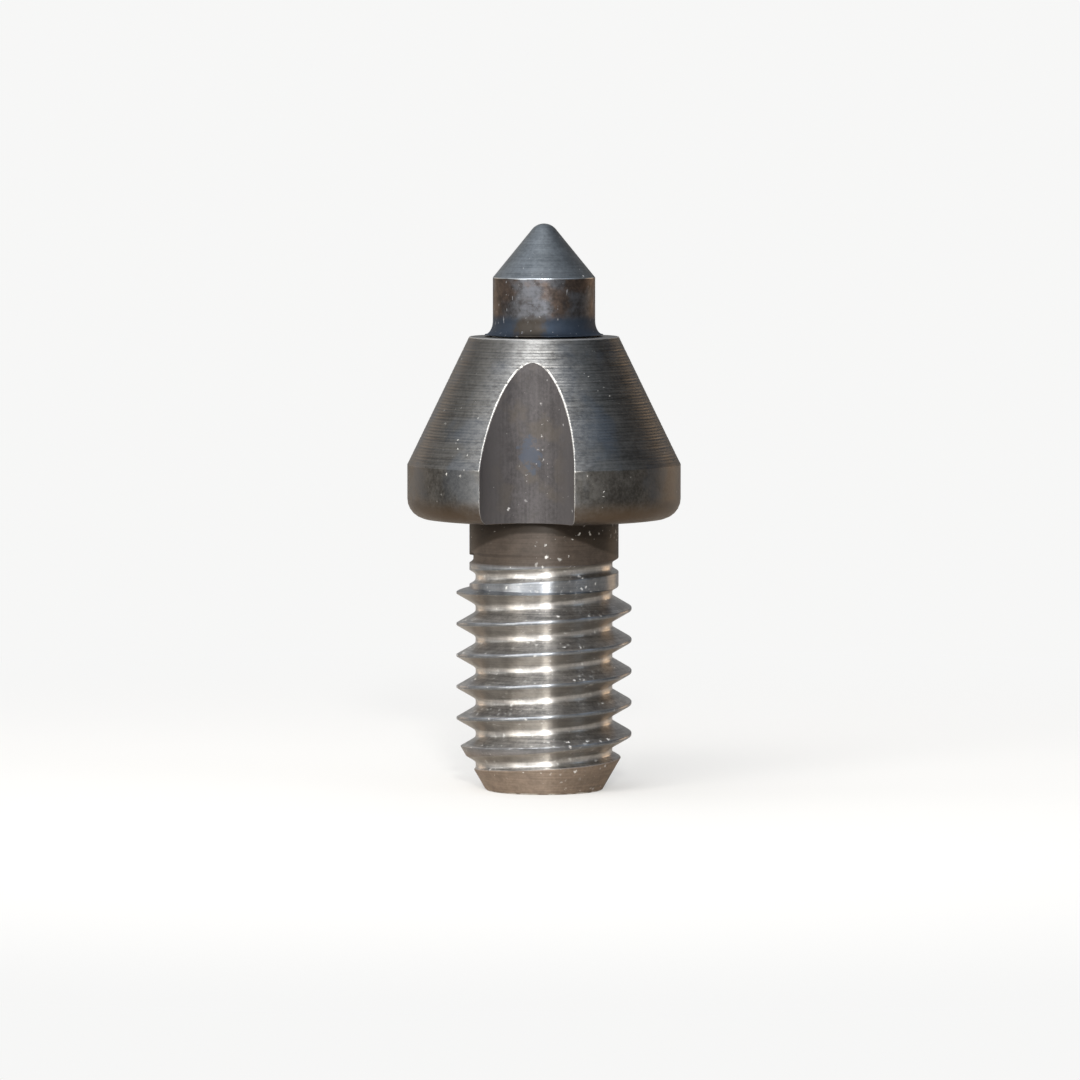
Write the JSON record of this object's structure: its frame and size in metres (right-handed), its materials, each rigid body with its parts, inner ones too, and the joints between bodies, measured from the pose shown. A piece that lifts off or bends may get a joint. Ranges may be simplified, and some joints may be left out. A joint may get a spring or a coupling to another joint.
{
  "type": "live center",
  "caption": "Small live center with a threaded shank: a pointed spindle turns on ball bearings in a scalloped conical nose housing.",
  "frame": {"origin": "middle of the flat face at the shank's threaded end", "axes": "+Z along the spindle's axis towards the point; the two spanner scallops are on -Y and +Y"},
  "size_m": [0.0122, 0.0114, 0.0254],
  "materials": {
    "blackened_steel": "turned and blackened, satin, worn bright along the edges",
    "point_steel": "hardened, blue-grey heat tint, fine ground",
    "shank_steel": "bright machined thread with a little oil",
    "bearing_steel": "lapped and polished",
    "spring_steel": "blue-grey spring temper",
    "cage_brass": "machined",
    "bronze": "oiled sintered bronze",
    "felt": "oiled felt"
  },
  "bodies": {
    "shank": {"threaded_shank": "shank_steel", "nose_housing": "blackened_steel", "nose_seal": "felt", "front_bearing_outer_ring": "bearing_steel", "rear_bearing_outer_ring": "bearing_steel", "outer_spacer": "spring_steel", "wave_washer": "spring_steel", "rear_bush": "bronze", "thrust_seat": "bearing_steel"},
    "point": {"center_point": "point_steel", "front_bearing_inner_ring": "bearing_steel", "rear_bearing_inner_ring": "bearing_steel", "inner_spacer": "spring_steel", "retaining_ring": "spring_steel"},
    "front_cage": {"front_bearing_cage": "cage_brass", "front_bearing_ball_1": "bearing_steel", "front_bearing_ball_2": "bearing_steel", "front_bearing_ball_3": "bearing_steel", "front_bearing_ball_4": "bearing_steel", "front_bearing_ball_5": "bearing_steel", "front_bearing_ball_6": "bearing_steel", "front_bearing_ball_7": "bearing_steel", "front_bearing_ball_8": "bearing_steel"},
    "rear_cage": {"rear_bearing_cage": "cage_brass", "rear_bearing_ball_1": "bearing_steel", "rear_bearing_ball_2": "bearing_steel", "rear_bearing_ball_3": "bearing_steel", "rear_bearing_ball_4": "bearing_steel", "rear_bearing_ball_5": "bearing_steel", "rear_bearing_ball_6": "bearing_steel", "rear_bearing_ball_7": "bearing_steel", "rear_bearing_ball_8": "bearing_steel"},
    "thrust_ball": {"thrust_ball": "bearing_steel"}
  },
  "joints": [
    {"name": "point_spin", "type": "hinge", "parent": "shank", "child": "point", "pos_m": [0, 0, 0.0205], "axis": [0, 0, 1], "continuous": true},
    {"name": "front_cage_turn", "type": "hinge", "parent": "shank", "child": "front_cage", "pos_m": [0, 0, 0.01848], "axis": [0, 0, 1], "continuous": true},
    {"name": "rear_cage_turn", "type": "hinge", "parent": "shank", "child": "rear_cage", "pos_m": [0, 0, 0.0161], "axis": [0, 0, 1], "continuous": true},
    {"name": "thrust_ball_turn", "type": "hinge", "parent": "shank", "child": "thrust_ball", "pos_m": [0, 0, 0.00488], "axis": [0, 0, 1], "continuous": true}
  ],
  "couplings": [
    {"joint": "front_cage_turn", "follows": "point_spin", "ratio": 0.38889},
    {"joint": "rear_cage_turn", "follows": "point_spin", "ratio": 0.38889},
    {"joint": "thrust_ball_turn", "follows": "point_spin", "ratio": 0.5}
  ]
}
